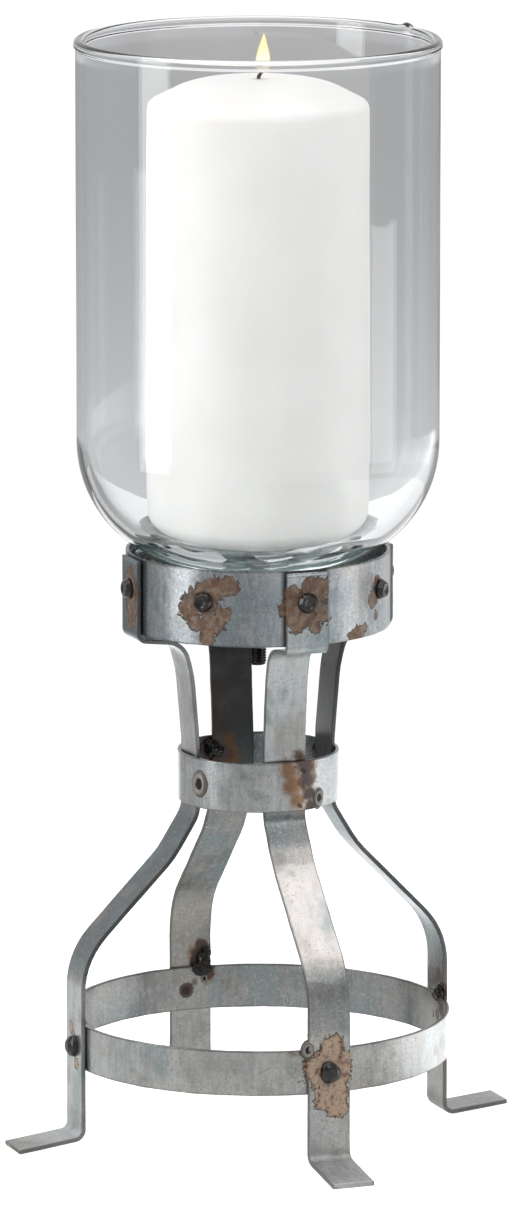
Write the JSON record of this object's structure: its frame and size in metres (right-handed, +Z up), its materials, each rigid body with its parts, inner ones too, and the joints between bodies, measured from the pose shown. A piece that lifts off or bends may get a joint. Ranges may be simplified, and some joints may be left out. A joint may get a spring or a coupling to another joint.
{
  "type": "candle lantern",
  "caption": "Glass hurricane bolted through its floor to a riveted strap-iron stand with bent legs and three rings, holding a tall pillar candle that lifts out.",
  "frame": {"origin": "on the floor, on the axis of the glass and the rings", "axes": "+Z up along the axis; the legs stand on +X, +Y, -X and -Y, and -Y is the front"},
  "size_m": [0.239, 0.239, 0.5024],
  "materials": {
    "glass": "clear, glossy",
    "wax": "satin",
    "wick": "matte",
    "galvanised_strap": "mottled zinc with rust patches",
    "dark_fastener": "dark, semi-gloss",
    "zinc_fastener": "dull zinc",
    "rubber": "milky silicone, satin",
    "weld": "dark, glossy"
  },
  "bodies": {
    "stand": {"glass_hurricane": "glass", "collar_band": "galvanised_strap", "waist_ring": "galvanised_strap", "base_ring": "galvanised_strap", "leg_front": "galvanised_strap", "leg_right": "galvanised_strap", "leg_back": "galvanised_strap", "leg_left": "galvanised_strap", "cross_strap_lower": "galvanised_strap", "cross_strap_upper": "galvanised_strap", "leg_bolts": "dark_fastener", "tab_bolts": "dark_fastener", "base_rivets": "dark_fastener", "leg_nuts": "zinc_fastener", "tab_nuts": "zinc_fastener", "centre_bolt": "zinc_fastener", "seat_plate": "zinc_fastener", "seat_nut": "zinc_fastener", "cross_nut": "zinc_fastener", "flat_washer": "zinc_fastener", "spring_washer": "zinc_fastener", "clamp_nut": "zinc_fastener", "head_gasket": "rubber", "seat_gasket": "rubber", "base_welds": "weld", "waist_welds": "weld"},
    "candle": {"candle": "wax", "wick": "wick"}
  },
  "joints": [
    {"name": "candle_lift", "type": "slide", "parent": "stand", "child": "candle", "axis": [0, 0, 1], "range_m": [0, 0.24]}
  ]
}
